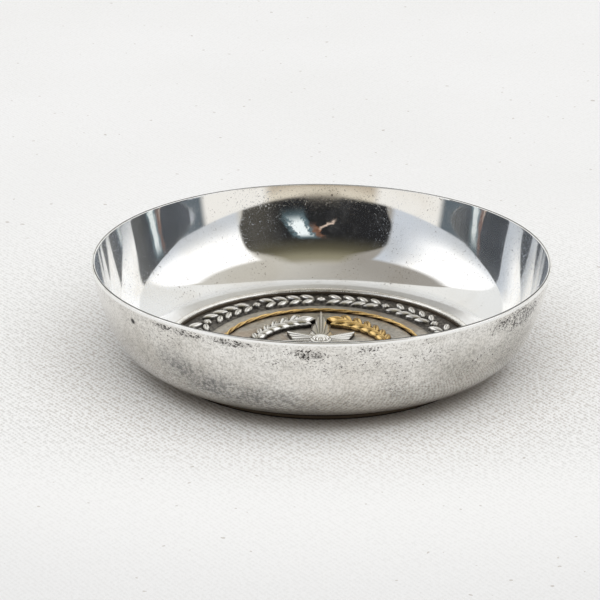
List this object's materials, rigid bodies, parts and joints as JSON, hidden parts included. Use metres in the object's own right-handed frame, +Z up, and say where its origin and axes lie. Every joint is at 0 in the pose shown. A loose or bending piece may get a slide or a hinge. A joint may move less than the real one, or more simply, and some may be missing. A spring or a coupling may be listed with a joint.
{
  "type": "dish with inset medal",
  "caption": "Small round silver-plated dish with a low foot and a framed medal set in its floor, for coins, keys or trinkets.",
  "frame": {"origin": "centre of the foot's resting face, which is the bottom of the bounding box", "axes": "+Z up out of the open bowl, along the turning axis; +Y towards the emblem's north point; +X towards its east point"},
  "size_m": [0.1, 0.1, 0.0234],
  "materials": {
    "polished_silver": "polished",
    "antique_silver": "satin",
    "worn_silver": "gloss",
    "gilt": "gloss",
    "plain_brass": "satin"
  },
  "bodies": {
    "root": {"bowl_shell": "polished_silver", "mount_ring": "polished_silver", "medal_disc": "antique_silver", "base_plate": "plain_brass", "compass_star": "worn_silver", "centre_rivet": "worn_silver", "rope_ring": "gilt", "laurel_sprig_northeast": "gilt", "laurel_sprig_northwest": "worn_silver", "laurel_sprig_southwest": "gilt", "laurel_sprig_southeast": "worn_silver"}
  },
  "joints": []
}
